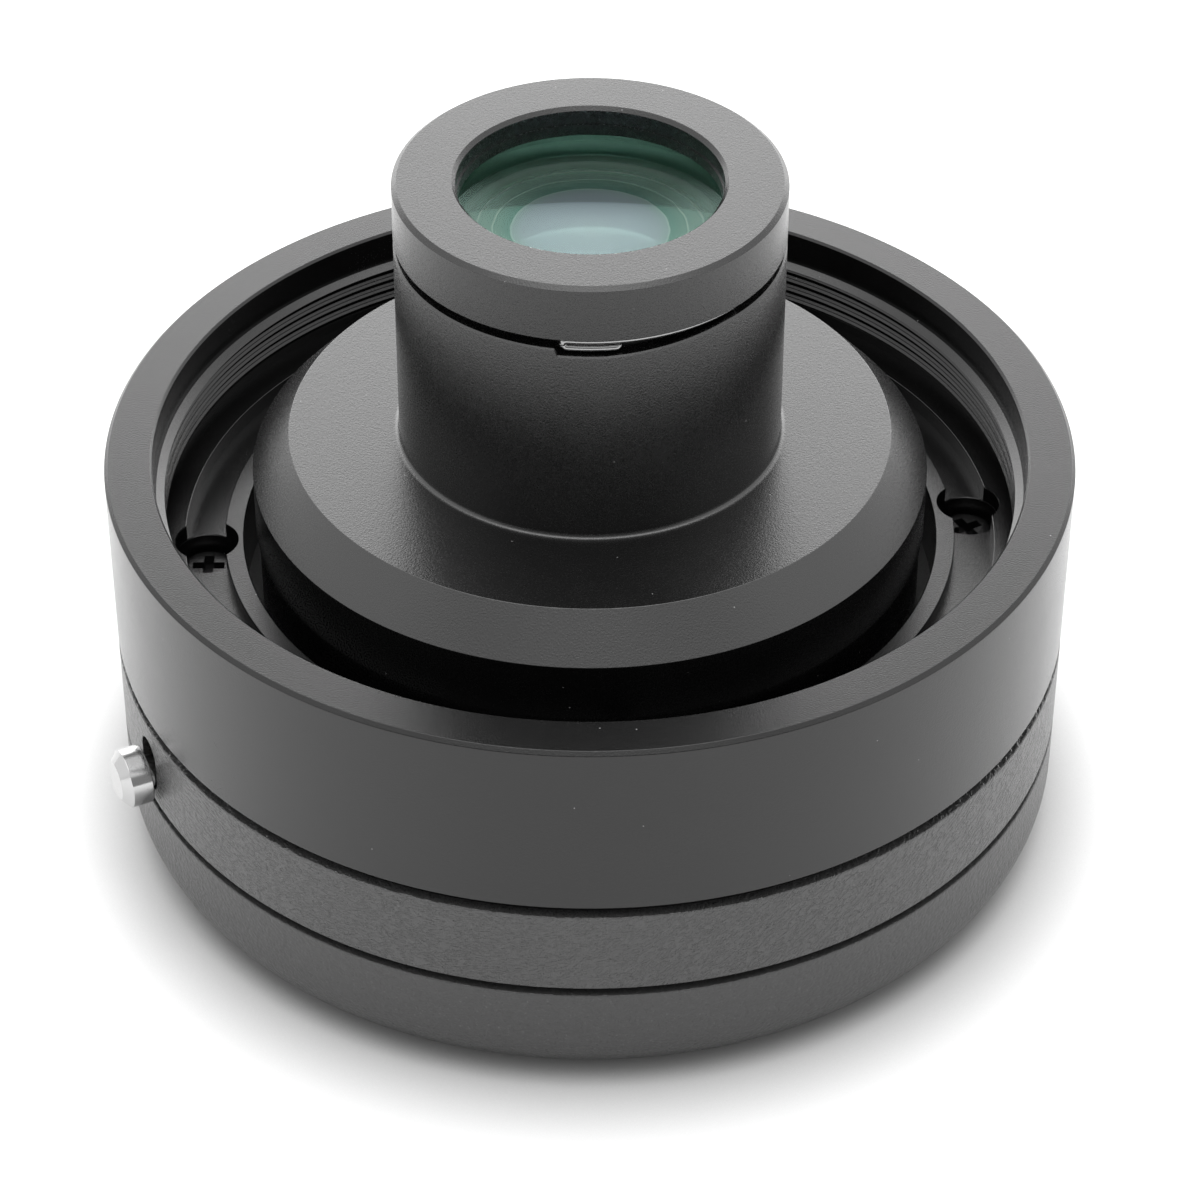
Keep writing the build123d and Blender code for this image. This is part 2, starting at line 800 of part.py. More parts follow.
export_step(nose_cap.part, "parts/nose_cap.step")
export_step(nose_housing.part, "parts/nose_housing.step")
export_step(nose_spring_wire.part, "parts/nose_spring_wire.step")
export_step(front_lens.part, "parts/front_lens.step")
export_step(front_lens_inner.part, "parts/front_lens_inner.step")
export_step(front_lens_seal.part, "parts/front_lens_seal.step")
export_step(rear_lens.part, "parts/rear_lens.step")
export_step(rear_lens_inner.part, "parts/rear_lens_inner.step")
export_step(rear_lens_retainer.part, "parts/rear_lens_retainer.step")
export_step(rim_ring.part, "parts/rim_ring.step")
export_step(floor_screws.part, "parts/floor_screws.step")
export_step(rim_seal.part, "parts/rim_seal.step")
export_step(main_body.part, "parts/main_body.step")
export_step(grip_band.part, "parts/grip_band.step")
export_step(base_ring.part, "parts/base_ring.step")
export_step(bayonet_ring.part, "parts/bayonet_ring.step")
export_step(bayonet_spring.part, "parts/bayonet_spring.step")
export_step(bayonet_screws.part, "parts/bayonet_screws.step")
export_step(lock_slider.part, "parts/lock_slider.step")
export_step(lock_lever.part, "parts/lock_lever.step")
export_step(lock_tongue.part, "parts/lock_tongue.step")
export_step(lock_spring.part, "parts/lock_spring.step")
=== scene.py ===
import math

import bmesh
import bpy
from mathutils import Matrix, Vector


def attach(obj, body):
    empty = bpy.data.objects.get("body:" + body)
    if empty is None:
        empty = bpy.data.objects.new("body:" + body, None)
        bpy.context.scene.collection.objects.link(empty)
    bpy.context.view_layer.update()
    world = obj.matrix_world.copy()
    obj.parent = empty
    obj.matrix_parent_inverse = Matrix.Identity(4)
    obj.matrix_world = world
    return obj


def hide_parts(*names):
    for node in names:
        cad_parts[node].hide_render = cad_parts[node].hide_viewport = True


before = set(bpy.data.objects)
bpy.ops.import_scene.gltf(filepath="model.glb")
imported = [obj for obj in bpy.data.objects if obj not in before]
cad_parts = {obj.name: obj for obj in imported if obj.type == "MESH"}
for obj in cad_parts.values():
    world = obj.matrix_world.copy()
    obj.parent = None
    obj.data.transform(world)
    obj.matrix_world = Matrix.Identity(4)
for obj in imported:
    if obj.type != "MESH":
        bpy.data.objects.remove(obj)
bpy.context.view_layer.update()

# Sizes in millimetres, in the frame of the solids
MM = 0.001
SEGMENTS = 288
WALL_R = 33.0
BASE_TOP = 8.3
BAND_LOW = 8.94
BAND_HIGH = 15.16
RIM_LOW = 15.98
RIM_HIGH = 28.94
BODY_R = 32.2
FLOOR_TOP = 22.0
SCREW_CIRCLE_R = 26.45
SCREW_ANGLE = 5.0
LEVER_ANGLE = 204.9
LEVER_Z = 11.0
LEVER_TRAVEL = 1.5
NOSE_R = 12.95
BARREL_TOP = 45.2
CAP_LOW = 45.9
CAP_HIGH = 49.92
SPIGOT_R = 11.9
SPIGOT_TOP = 47.2
LENS_SEAT_R = 10.25
CHANNEL_OUTER_R = 27.88
CHANNEL_INNER_R = 25.2
CHANNEL_FLOOR = 20.85
NOTCH_START = -99.9
NOTCH_FLAT_END = -85.0
NOTCH_END = -48.0
NOTCH_DROP = 0.5
THREAD_PITCH = 0.8
THREAD_ROOT_R = 29.45
THREAD_CREST_R = 29.08
THREAD_LOW = 23.1
THREAD_HIGH = 26.5
LEAD_R = 29.62
LEAD_HEIGHT = 0.3
COLLAR_R = 29.77
COLLAR_FOOT_R = 29.95
BODY_TOP = 16.9
BODY_INNER_R = 20.8
RING_BORE_R = 23.9
DOME_R = 23.0
DRUM_R = 22.8
BARREL_FOOT = 30.4
BORE_R = 9.2
SHELF_FOOT = 41.9
SHELF_TOP = 42.0
REAR_BORE_R = 14.05
REAR_SHOULDER = 20.4
CAP_INNER_R = 8.77
SEAL_LIP_R = 8.69
LENS_R = 10.2
REAR_LENS_R = 14.0
BORE_FLOOR = 18.5
SCREW_BORE_R = 2.15
SCREW_HOLE_R = 1.1
BASE_BORE_R = 25.0
BASE_INNER_R = 30.45
BASE_FOOT_R = 28.6
BASE_ROUND_R = 4.4
BASE_ROUND_STEPS = 24
SLOT_R = 1.3
SLOT_STEPS = 32
WIRE_R = 0.24
WIRE_PATH_R = 12.38
WIRE_END_R = 11.5
WIRE_HIGH = 45.6
WIRE_LOW = 45.08
WIRE_HOOK_R = WIRE_R * 1.3

# Angles of the wire in degrees: its bend and its two ends
WIRE_BEND = -96.5
WIRE_HIGH_END = -42.7
WIRE_LOW_END = -82.5

# One turn of the thread as (share of the turn, share of the depth): two small steps
THREAD_STEPS = [
    (0.0, 0.0), (0.22, 0.0), (0.27, 1.0), (0.34, 1.0), (0.51, 0.64),
    (0.58, 0.60), (0.75, 0.26), (0.82, 0.22), (0.86, 0.0),
]

# The front lens: share of the painted reflection on its joint face, and the height that face lies
# under
PAINTED_REFLECTION_SHARE = 0.66
JOINT_TOP = 45.7

# Strengths of the surroundings as (sides, behind, in front), low and at middle height
LOW_LIGHT = (1.3, 4.4, 0.35)
MIDDLE_LIGHT = (1.5, 0.7, 1.2)
ZENITH = 3.6

# Camera, found from the object's circles: millimetres and degrees
CAMERA_PLACE = (0.72, -219.83, 188.03)
CAMERA_LENS = 119.31
CAMERA_TILT = 38.198
CAMERA_ROLL = 0.184


# Shapes

def rounded(points, steps=4):
    """Outline of (r, z, rounding) points with each corner turned into a small arc."""
    outline = []
    count = len(points)
    for i, (r, z, rounding) in enumerate(points):
        here = Vector((r, z))
        if rounding <= 0:
            outline.append((r, z))
            continue
        before = Vector(points[i - 1][:2])
        after = Vector(points[(i + 1) % count][:2])
        to_before = (before - here).normalized()
        to_after = (after - here).normalized()
        half = to_before.angle(to_after) / 2
        run = rounding / math.tan(half)
        run = min(run, (before - here).length * 0.49, (after - here).length * 0.49)
        start = here + to_before * run
        end = here + to_after * run
        outline.append(tuple(start + to_before * run * 0.02))
        for k in range(steps + 1):
            t = k / steps
            point = start * (1 - t) ** 2 + here * 2 * t * (1 - t) + end * t**2
            outline.append((point.x, point.y))
        outline.append(tuple(end + to_after * run * 0.02))
    return outline


def mesh_object(name, vertices, faces, sharp_angle=32):
    """Object of a mesh in metres from points in millimetres, smooth but for its sharp edges."""
    mesh = bpy.data.meshes.new(name)
    mesh.from_pydata([(x * MM, y * MM, z * MM) for x, y, z in vertices], [], faces)
    mesh.validate()
    piece = bpy.data.objects.new(name, mesh)
    bpy.context.collection.objects.link(piece)
    tidy_normals(mesh, sharp_angle)
    return piece


def tidy_normals(mesh, sharp_angle=32):
    """Point all faces outwards and shade them smooth between sharp edges."""
    work = bmesh.new()
    work.from_mesh(mesh)
    bmesh.ops.remove_doubles(work, verts=work.verts, dist=1e-8)
    bmesh.ops.recalc_face_normals(work, faces=work.faces)
    work.to_mesh(mesh)
    work.free()
    mesh.shade_smooth()
    mesh.set_sharp_from_angle(angle=math.radians(sharp_angle))


def turned(name, outline, segments=SEGMENTS, closed=True, bend=None, sharp_angle=32):
    """Turn an outline of (r, z) points about the optical axis."""
    count = len(outline)
    vertices = []
    for i in range(segments):
        angle = 2 * math.pi * i / segments
        for r, z in outline:
            if bend:
                r, z = bend(r, z, math.degrees(angle))
            vertices.append((r * math.cos(angle), r * math.sin(angle), z))
    faces = []
    for i in range(segments):
        j = (i + 1) % segments
        for k in range(count if closed else count - 1):
            m = (k + 1) % count
            faces.append((i * count + k, j * count + k, j * count + m, i * count + m))
    return mesh_object(name, vertices, faces, sharp_angle)


def tube(name, points, radius, sides=16):
    """Round tube along a list of points, with closed ends."""
    vertices = []
    faces = []
    for i, point in enumerate(points):
        ahead = Vector(points[min(i + 1, len(points) - 1)])
        behind = Vector(points[max(i - 1, 0)])
        along = (ahead - behind).normalized()
        side = along.cross(Vector((0, 0, 1)))
        if side.length < 1e-6:
            side = Vector((1, 0, 0))
        side.normalize()
        up = side.cross(along)
        for k in range(sides):
            a = 2 * math.pi * k / sides
            p = Vector(point) + (side * math.cos(a) + up * math.sin(a)) * radius
            vertices.append(tuple(p))
    for i in range(len(points) - 1):
        for k in range(sides):
            m = (k + 1) % sides
            faces.append((i * sides + k, i * sides + m, (i + 1) * sides + m, (i + 1) * sides + k))
    faces.append(tuple(range(sides)))
    faces.append(tuple(range((len(points) - 1) * sides, len(points) * sides)))
    return mesh_object(name, vertices, faces, 50)


def cut(piece, cutter):
    """Take the cutter's volume out of a piece and delete the cutter."""
    modifier = piece.modifiers.new("cut", "BOOLEAN")
    modifier.operation = "DIFFERENCE"
    modifier.solver = "EXACT"
    modifier.object = cutter
    graph = bpy.context.evaluated_depsgraph_get()
    graph.update()
    mesh = bpy.data.meshes.new_from_object(piece.evaluated_get(graph))
    piece.modifiers.clear()
    piece.data = mesh
    bpy.data.objects.remove(cutter)
    tidy_normals(mesh)


def polar(radius, angle, height=0.0):
    """Point in millimetres at this radius, angle in degrees and height."""
    a = math.radians(angle)
    return Vector((radius * math.cos(a), radius * math.sin(a), height))


def shaft(name, outline, origin, direction, segments=64):
    """Turn an outline of (r, distance) points about an axis through the origin."""
    piece = turned(name, outline, segments)
    turn = Vector((0, 0, 1)).rotation_difference(Vector(direction)).to_matrix().to_4x4()
    piece.data.transform(Matrix.Translation(Vector(origin) * MM) @ turn)
    return piece


def lever_prism(name, outline, near, far):
    """Prism of an outline of (across, z) points, along the lever pin between two radii."""
    out = polar(1, LEVER_ANGLE)
    side = polar(1, LEVER_ANGLE + 90)
    count = len(outline)
    vertices = []
    for distance in (near, far):
        for x, z in outline:
            vertices.append(tuple(out * distance + side * x + Vector((0, 0, z))))
    faces = [tuple(range(count)), tuple(range(2 * count - 1, count - 1, -1))]
    for k in range(count):
        m = (k + 1) % count
        faces.append((k, m, count + m, count + k))
    return mesh_object(name, vertices, faces)


def add(piece, material, body, *nodes, slot=None):
    """Give a piece its material, its body and the nodes it stands for. The slot is not used."""
    piece.data.materials.clear()
    piece.data.materials.append(material)
    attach(piece, body)
    if nodes:
        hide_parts(*nodes)
    return piece


# Materials

def grey(level):
    """Neutral colour of this level."""
    return (level, level, level)


class Look:
    """A node material around one Principled shader."""

    def __init__(self, name, colour, roughness, ior=1.5, metallic=0.0):
        self.material = bpy.data.materials.new(name)
        self.material.use_nodes = True
        self.tree = self.material.node_tree
        self.shader = self.tree.nodes["Principled BSDF"]
        self.shader.inputs["Base Color"].default_value = (*colour, 1)
        self.shader.inputs["Roughness"].default_value = roughness
        self.shader.inputs["IOR"].default_value = ior
        self.shader.inputs["Metallic"].default_value = metallic
        self.place = self.tree.nodes.new("ShaderNodeTexCoord").outputs["Object"]

    def node(self, kind, links=(), **values):
        """New node with its values set and its inputs linked."""
        node = self.tree.nodes.new(kind)
        for key, value in values.items():
            setattr(node, key, value)
        for socket, source in links:
            if hasattr(source, "is_linked"):
                self.tree.links.new(source, node.inputs[socket])
            else:
                node.inputs[socket].default_value = source
        return node

    def stretched(self, place, stretch):
        """Place scaled along its axes, or as it is without a stretch."""
        if not stretch:
            return place
        return self.node(
            "ShaderNodeMapping", [("Vector", place), ("Scale", stretch)]
        ).outputs[0]

    def noise(self, scale, detail=2.0, rough=0.5, place=None, stretch=None):
        """Noise with this many cells per metre, from 0 to 1."""
        place = self.stretched(place or self.place, stretch)
        return self.node("ShaderNodeTexNoise", [
            ("Vector", place), ("Scale", scale), ("Detail", detail), ("Roughness", rough),
        ]).outputs["Fac"]

    def cells(self, scale):
        """Distance in a Voronoi pattern with this many cells per metre."""
        return self.node(
            "ShaderNodeTexVoronoi", [("Vector", self.place), ("Scale", scale)]
        ).outputs["Distance"]

    def range(self, value, low, high, to_low, to_high):
        """Value mapped from one range to another and clamped."""
        return self.node("ShaderNodeMapRange", [
            ("Value", value), ("From Min", low), ("From Max", high),
            ("To Min", to_low), ("To Max", to_high),
        ]).outputs["Result"]

    def math(self, operation, a, b):
        """Two values joined by a math node."""
        return self.node(
            "ShaderNodeMath", [(0, a), (1, b)], operation=operation
        ).outputs[0]

    def blend(self, factor, a, b):
        """Colour mixed from a to b."""
        return self.node("ShaderNodeMix", [
            ("Factor", factor), (6, (*a, 1) if isinstance(a, tuple) else a),
            (7, (*b, 1) if isinstance(b, tuple) else b),
        ], data_type="RGBA").outputs[2]

    def bump(self, height, distance):
        """Normal bent by a height, with this depth in metres."""
        return self.node("ShaderNodeBump", [
            ("Height", height), ("Distance", distance), ("Strength", 1.0),
        ]).outputs[0]

    def set(self, socket, source):
        """Link a source to one of the shader's inputs."""
        self.tree.links.new(source, self.shader.inputs[socket])


def anodised(name, colour, roughness, ior, grain=8500, depth=15e-6, spread=0.03):
    """Fine blasted and anodised aluminium with faint handling marks."""
    look = Look(name, colour, roughness, ior)
    fine = look.noise(grain, 2.0, 0.6)
    cloud = look.noise(90, 4.0, 0.6)
    speck = look.range(look.noise(grain * 0.6, 1.0), 0.66, 0.76, 0.0, 1.0)
    base = look.blend(look.range(cloud, 0.35, 0.7, 0.0, 1.0), colour,
                      tuple(c * 1.5 for c in colour))
    dot = look.range(look.cells(480), 0.014, 0.03, 1.0, 0.0)
    base = look.blend(look.math("MULTIPLY", speck, 0.5), base, tuple(c * 4 for c in colour))
    look.set("Base Color", look.blend(dot, base, grey(0.22)))
    rough = look.math("ADD", look.range(cloud, 0.3, 0.7, roughness - spread, roughness + spread),
                      look.range(fine, 0.3, 0.7, -0.04, 0.04))
    look.set("Roughness", rough)
    look.set("Normal", look.bump(fine, depth))
    return look.material


def matte_black(name, level=0.006):
    """Flat black of the inner walls."""
    look = Look(name, grey(level), 0.5, 1.45)
    fine = look.noise(7000, 2.0, 0.6)
    look.set("Roughness", look.range(fine, 0.3, 0.7, 0.42, 0.6))
    look.set("Normal", look.bump(fine, 5e-6))
    return look.material


def leather_grain(name):
    """Grained black band: short wrinkles with a finer grain in them."""
    look = Look(name, grey(0.042), 0.3, 1.6)
    turned_place = look.node("ShaderNodeVectorRotate", [
        ("Vector", look.place), ("Axis", (0.0, -1.0, 0.0)), ("Angle", math.radians(-38)),
    ], rotation_type="AXIS_ANGLE").outputs[0]
    level = look.noise(4600, 2.0, 0.5, stretch=(0.36, 0.36, 1.0))
    slant = look.noise(4600, 2.0, 0.5, place=turned_place, stretch=(0.34, 0.34, 1.0))
    across = look.node("ShaderNodeSeparateXYZ", [("Vector", look.place)]).outputs["X"]
    share = look.range(look.math("ADD", across, look.math(
        "MULTIPLY", look.noise(120, 2.0), 0.016)), -0.004, 0.016, 0.0, 1.0)
    wrinkle = look.node("ShaderNodeMix", [("Factor", share), (2, level), (3, slant)]).outputs[0]
    crease = look.range(wrinkle, 0.40, 0.56, 0.0, 1.0)
    fine = look.noise(9000, 2.0)
    height = look.math("ADD", crease, look.math("MULTIPLY", fine, 0.35))
    look.set("Normal", look.bump(height, 58e-6))
    look.set("Roughness", look.range(fine, 0.3, 0.7, 0.24, 0.36))
    return look.material


def sand_paint(name):
    """Textured black paint with small bright grains."""
    look = Look(name, grey(0.010), 0.45, 1.5)
    grain = look.noise(4200, 3.0, 0.6)
    lumps = look.cells(3000)
    height = look.math("SUBTRACT", grain, look.math("MULTIPLY", lumps, 0.6))
    speck = look.range(look.noise(7500, 1.0), 0.68, 0.78, 0.0, 1.0)
    look.set("Base Color", look.blend(speck, grey(0.040), grey(0.12)))
    look.set("Normal", look.bump(height, 70e-6))
    look.set("Roughness", look.range(grain, 0.3, 0.7, 0.26, 0.40))
    return look.material


def polished_steel(name, colour, roughness):
    """Turned steel with fine tool lines."""
    look = Look(name, colour, roughness, 2.5, 1.0)
    lines = look.noise(14000, 2.0, 0.6)
    look.set("Roughness", look.range(lines, 0.3, 0.7, roughness - 0.05, roughness + 0.08))
    look.set("Normal", look.bump(lines, 1.5e-6))
    return look.material


def coated_glass(name, reflect, transmit, strength, roughness=0.02, painted_zones=None):
    """Clear glass with a coloured gloss; where colours by radius are given, its joint face also
    carries a painted reflection: diffuse bands with painted highlight arcs.
    """
    look = Look(name, transmit, 0.0, 1.5)
    clear = look.node("ShaderNodeBsdfRefraction", [
        ("Color", (*transmit, 1)), ("IOR", 1.5), ("Roughness", 0.0),
    ]).outputs[0]
    gloss = look.node("ShaderNodeBsdfGlossy", [
        ("Color", (*reflect, 1)), ("Roughness", roughness),
    ]).outputs[0]
    fresnel = look.node("ShaderNodeFresnel", [("IOR", 1.5)]).outputs[0]
    share = look.math("MULTIPLY", fresnel, strength)
    if painted_zones:
        parts = look.node("ShaderNodeSeparateXYZ", [("Vector", look.place)])
        radius = look.math("SQRT", look.math(
            "ADD", look.math("MULTIPLY", parts.outputs["X"], parts.outputs["X"]),
            look.math("MULTIPLY", parts.outputs["Y"], parts.outputs["Y"])), 0.0)
        streak = look.math("MULTIPLY", look.math("SUBTRACT", look.noise(
            900, 2.0, 0.5, stretch=(0.25, 1.0, 1.0)), 0.5), 0.0002)
        ramp = look.node("ShaderNodeValToRGB", [
            ("Fac", look.math("DIVIDE", look.math("ADD", radius, streak), LENS_R * MM)),
        ])
        stops = ramp.color_ramp.elements
        while len(stops) > 1:
            stops.remove(stops[-1])
        stops[0].position = painted_zones[0][0] / LENS_R
        stops[0].color = (*painted_zones[0][1], 1)
        for place, colour in painted_zones[1:]:
            stops.new(place / LENS_R).color = (*colour, 1)
        # Painted reflection: diffuse bands coloured by radius, with painted highlight arcs, on the
        # lens's joint face
        painted_reflection = look.node("ShaderNodeBsdfDiffuse", [("Color", ramp.outputs["Color"])]).outputs[0]
        joint = look.math("LESS_THAN", parts.outputs["Z"], JOINT_TOP * MM)
        painted_reflection_mask = look.math("MULTIPLY", joint, PAINTED_REFLECTION_SHARE)
        clear = look.node("ShaderNodeMixShader", [(0, painted_reflection_mask), (1, clear), (2, painted_reflection)]).outputs[0]
    mix = look.node("ShaderNodeMixShader", [
        (0, look.math("MINIMUM", share, 1.0)), (1, clear), (2, gloss),
    ]).outputs[0]
    look.tree.nodes.remove(look.shader)
    out = look.tree.nodes["Material Output"]
    look.tree.links.new(mix, out.inputs["Surface"])
    return look.material


cap_black = anodised("cap_black", grey(0.003), 0.26, 1.6)
nose_black = anodised("nose_black", grey(0.0015), 0.26, 1.72)
rim_black = anodised("rim_black", grey(0.003), 0.22, 1.5)
inner_black = matte_black("inner_black")
groove_black = matte_black("groove_black", 0.002)
wire_steel = polished_steel("wire_steel", grey(0.30), 0.14)
band_grain = leather_grain("band_grain")
base_black = sand_paint("base_black")
lever_steel = polished_steel("lever_steel", grey(0.46), 0.10)
spring_steel = polished_steel("spring_steel", grey(0.55), 0.2)
screw_black = anodised("screw_black", grey(0.004), 0.2, 1.5)
bayonet_metal = polished_steel("bayonet_metal", grey(0.55), 0.3)
slider_brass = polished_steel("slider_brass", (0.60, 0.50, 0.28), 0.3)
seal_rubber = matte_black("seal_rubber")

# Painted reflection on the front lens's joint: colours by radius in millimetres, the bright stops
# being painted highlight arcs
painted_reflection_zones = [
    (0.0, (0.74, 0.80, 0.90)), (3.2, (0.66, 0.72, 0.84)), (4.6, (0.60, 0.66, 0.76)),
    (5.3, (0.52, 0.64, 0.66)), (5.4, (0.72, 0.88, 0.84)), (5.5, (0.16, 0.38, 0.31)),
    (6.5, (0.28, 0.48, 0.40)), (6.62, (0.22, 0.42, 0.34)), (6.7, (0.70, 0.88, 0.78)),
    (6.82, (0.30, 0.50, 0.42)), (7.8, (0.42, 0.64, 0.54)), (7.9, (0.80, 0.95, 0.86)),
    (8.0, (0.36, 0.56, 0.47)), (9.0, (0.66, 0.84, 0.75)), (9.9, (0.12, 0.26, 0.19)),
]
front_glass = coated_glass(
    "front_glass", (0.42, 0.60, 0.54), (0.92, 0.97, 0.95), 0.6, 0.02, painted_reflection_zones
)
front_glass_inner = coated_glass("front_glass_inner", (0.50, 0.66, 0.68), (0.92, 0.96, 0.96), 1.2)
rear_glass = coated_glass("rear_glass", (0.70, 0.74, 0.86), (0.94, 0.98, 0.97), 2.0)

materials = {
    "nose_spring_wire": spring_steel,
    "front_lens_seal": seal_rubber,
    "rear_lens": rear_glass,
    "rear_lens_inner": rear_glass,
    "rear_lens_retainer": inner_black,
    "floor_screws": screw_black,
    "rim_seal": seal_rubber,
    "main_body": inner_black,
    "bayonet_ring": bayonet_metal,
    "bayonet_spring": spring_steel,
    "bayonet_screws": screw_black,
    "lock_slider": slider_brass,
    "lock_tongue": lever_steel,
    "lock_spring": spring_steel,
}
for node, material in materials.items():
    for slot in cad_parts[node].material_slots:
        slot.link = "OBJECT"
        slot.material = material


# Nose cap
cap = turned("cap_shell", rounded([
    (SPIGOT_R + 0.05, CAP_LOW, 0.0),
    (NOSE_R, CAP_LOW, 0.06),
    (NOSE_R, CAP_HIGH - 0.26, 0.03),
    (NOSE_R - 0.33, CAP_HIGH, 0.03),
    (CAP_INNER_R + 0.26, CAP_HIGH, 0.03),
    (CAP_INNER_R, CAP_HIGH - 0.26, 0.03),
    (CAP_INNER_R, 48.65, 0.0),
    (SEAL_LIP_R, 48.65, 0.0),
    (SEAL_LIP_R, 47.9, 0.0),
    (10.4, 47.9, 0.0),
    (10.4, 47.3, 0.0),
    (SPIGOT_R + 0.05, 47.3, 0.0),
]))
add(cap, cap_black, "converter", "nose_cap", slot="cap_black")


# Nose housing
def notch_lip(r, z, angle):
    """Lower the lip under the cap along the ramp of the notch."""
    angle = (angle + 180) % 360 - 180
    if r < SPIGOT_R - 0.01 or z < BARREL_TOP - 0.9:
        return r, z
    if NOTCH_START <= angle <= NOTCH_FLAT_END:
        return r, z - NOTCH_DROP
    if NOTCH_FLAT_END < angle < NOTCH_END:
        return r, z - NOTCH_DROP * (NOTCH_END - angle) / (NOTCH_END - NOTCH_FLAT_END)
    return r, z


housing = turned("housing_shell", rounded([
    (REAR_BORE_R, 13.62, 0.0),
    (20.75, 13.62, 0.0),
    (20.75, BODY_TOP, 0.0),
    (DRUM_R, BODY_TOP, 0.0),
    (DRUM_R, 23.35, 0.0),
    (DOME_R, 23.35, 0.03),
    (DOME_R, 27.6, 0.06),
    (20.43, BARREL_FOOT, 0.06),
    (NOSE_R, BARREL_FOOT, 0.35),
    (NOSE_R, 40.0, 0.0),
    (NOSE_R, 43.9, 0.0),
    (NOSE_R, BARREL_TOP - 0.12, 0.02),
    (NOSE_R - 0.12, BARREL_TOP, 0.02),
    (SPIGOT_R, BARREL_TOP, 0.0),
    (SPIGOT_R, SHELF_FOOT, 0.0),
    (BORE_R, SHELF_FOOT, 0.0),
    (BORE_R, 30.0, 0.0),
    (12.2, 23.0, 0.0),
    (12.2, REAR_SHOULDER, 0.0),
    (REAR_BORE_R, REAR_SHOULDER, 0.0),
]), segments=360, bend=notch_lip)
add(housing, nose_black, "converter", "nose_housing", slot="nose_black")

spigot = turned("spigot_shell", [
    (BORE_R, SHELF_FOOT),
    (SPIGOT_R, SHELF_FOOT),
    (SPIGOT_R, SPIGOT_TOP),
    (LENS_SEAT_R, SPIGOT_TOP),
    (LENS_SEAT_R, SHELF_TOP),
    (BORE_R, SHELF_TOP),
])
add(spigot, groove_black, "converter", "nose_housing", slot="nose_black")


# Rim ring
rim = turned("rim_shell", rounded([
    (RING_BORE_R, BODY_TOP, 0.0),
    (32.3, BODY_TOP, 0.0),
    (32.3, RIM_LOW, 0.0),
    (WALL_R, RIM_LOW, 0.08),
    (WALL_R, 28.68, 0.12),
    (32.74, RIM_HIGH, 0.06),
    (29.93, RIM_HIGH, 0.03),
    (COLLAR_R, 28.78, 0.03),
    (COLLAR_R, THREAD_HIGH, 0.0),
    (LEAD_R, THREAD_HIGH, 0.0),
    (THREAD_ROOT_R, 26.05, 0.0),
    (THREAD_ROOT_R, THREAD_LOW, 0.0),
    (COLLAR_FOOT_R, THREAD_LOW, 0.0),
    (COLLAR_FOOT_R, FLOOR_TOP, 0.0),
    (CHANNEL_OUTER_R, FLOOR_TOP, 0.08),
    (CHANNEL_OUTER_R, CHANNEL_FLOOR, 0.0),
    (CHANNEL_INNER_R, CHANNEL_FLOOR, 0.0),
    (CHANNEL_INNER_R, FLOOR_TOP, 0.06),
    (RING_BORE_R, FLOOR_TOP, 0.1),
]))
bore_outline = [
    (0.0001, 0.0),
    (SCREW_BORE_R, 0.0),
    (SCREW_BORE_R, 2.29),
    (SCREW_BORE_R + 0.07, 2.36),
    (SCREW_BORE_R, 2.37),
    (SCREW_BORE_R, 3.45),
    (SCREW_BORE_R + 0.07, 3.52),
    (SCREW_BORE_R + 0.07, 5.0),
    (0.0001, 5.0),
]
hole_outline = [(0.0001, -2), (SCREW_HOLE_R, -2), (SCREW_HOLE_R, 1), (0.0001, 1)]
for k in range(4):
    place = polar(SCREW_CIRCLE_R, SCREW_ANGLE + 90 * k, BORE_FLOOR)
    cut(rim, shaft("bore", bore_outline, place, (0, 0, 1), 96))
    cut(rim, shaft("hole", hole_outline, place, (0, 0, 1), 32))
add(rim, rim_black, "converter", "rim_ring", slot="rim_black")


# Fine inner thread, which winds round the wall
def thread_ridge():
    """Fine inner thread whose rows climb with the helix, and its lead-in at the top."""
    steps = 360
    turns = range(int(THREAD_LOW / THREAD_PITCH) - 1, int(THREAD_HIGH / THREAD_PITCH) + 1)
    vertices = []
    for i in range(steps + 1):
        angle = 360 * i / steps
        column = []
        for turn in turns:
            for phase, depth in THREAD_STEPS:
                level = (turn + phase + i / steps) * THREAD_PITCH
                z = min(max(level, THREAD_LOW), THREAD_HIGH - LEAD_HEIGHT)
                fade = min(1.0, (z - THREAD_LOW) / 0.2)
                column.append((THREAD_ROOT_R + 0.02
                               - (THREAD_ROOT_R - THREAD_CREST_R) * depth * fade, z))
        column += [(THREAD_CREST_R, THREAD_HIGH - LEAD_HEIGHT), (LEAD_R, THREAD_HIGH)]
        vertices += [tuple(polar(r, angle, z)) for r, z in column]
    count = len(vertices) // (steps + 1)
    faces = []
    for i in range(steps):
        for k in range(count - 1):
            a = i * count + k
            faces.append((a, a + 1, a + count + 1, a + count))
    return mesh_object("rim_thread", vertices, faces, 25)


add(thread_ridge(), rim_black, "converter", slot="rim_black")


# Grip band, with the slot of the lever pin
band = turned("band_skin", rounded([
    (BODY_R + 0.03, BAND_LOW, 0.0),
    (WALL_R, BAND_LOW, 0.1),
    (WALL_R, BAND_HIGH, 0.1),
    (BODY_R + 0.03, BAND_HIGH, 0.0),
]), segments=512)
slot_outline = []
for middle, start in ((LEVER_Z + LEVER_TRAVEL, 0.0), (LEVER_Z, math.pi)):
    for k in range(SLOT_STEPS + 1):
        a = start + math.pi * k / SLOT_STEPS
        slot_outline.append((SLOT_R * math.cos(a), middle + SLOT_R * math.sin(a)))
cut(band, lever_prism("slot_cutter", slot_outline, 31.0, 34.5))
add(band, band_grain, "converter", "grip_band", slot="band_grain")


